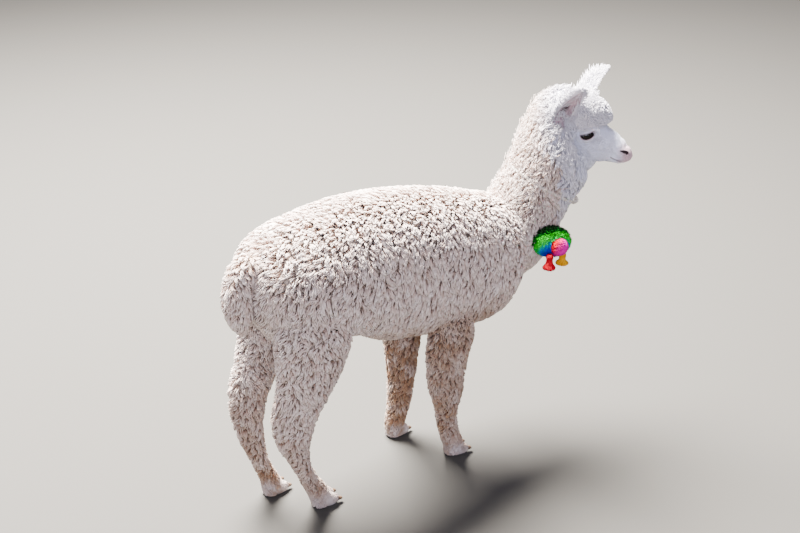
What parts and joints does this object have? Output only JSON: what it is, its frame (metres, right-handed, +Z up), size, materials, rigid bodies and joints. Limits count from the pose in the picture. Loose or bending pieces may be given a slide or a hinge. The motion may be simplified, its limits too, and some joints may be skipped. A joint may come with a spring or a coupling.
{
  "type": "standing young alpaca",
  "caption": "Life-size young white alpaca standing with its head turned to its right, in crimped fleece, with a yarn pompom and a thin rope collar.",
  "frame": {"origin": "on the floor, under the middle of the model's bounding box", "axes": "+X forwards along the trunk, +Y to the animal's left, +Z up; the head is turned to the animal's right, towards -Y"},
  "size_m": [1.0449, 0.339, 0.9193],
  "materials": {
    "fleece": "crimped cream-white wool in small curled locks, soiled brown at the feet",
    "face_hair": "short flat white hair over pinkish skin, with a woolly topknot",
    "ear_hair": "white hair outside, grey-pink skin with sparse hair inside",
    "foot_hair": "short soiled hair over a leathery pad",
    "eye": "wet, near-black, glossy",
    "nail": "worn brown keratin, half matt",
    "rope": "thin twisted off-white rope",
    "yarn_green": "cut acrylic yarn, dark green to bright green with a blue and purple edge",
    "yarn_magenta": "cut acrylic yarn, magenta",
    "yarn_red": "combed acrylic yarn, red",
    "yarn_yellow": "combed acrylic yarn, golden yellow"
  },
  "bodies": {
    "root": {"trunk": "fleece", "neck": "fleece", "head": "face_hair", "tail": "fleece", "ear_left": "ear_hair", "ear_right": "ear_hair", "eye_left": "eye", "eye_right": "eye", "hind_left_leg": "fleece", "hind_right_leg": "fleece", "front_left_leg": "fleece", "front_right_leg": "fleece", "hind_left_foot": "foot_hair", "hind_right_foot": "foot_hair", "front_left_foot": "foot_hair", "front_right_foot": "foot_hair", "hind_left_nail_inner": "nail", "hind_left_nail_outer": "nail", "hind_right_nail_inner": "nail", "hind_right_nail_outer": "nail", "front_left_nail_inner": "nail", "front_left_nail_outer": "nail", "front_right_nail_inner": "nail", "front_right_nail_outer": "nail", "rope_collar": "rope", "pompom": "yarn_green", "pompom_core": "yarn_magenta", "tassel_red": "yarn_red", "tassel_yellow": "yarn_yellow"}
  },
  "joints": []
}
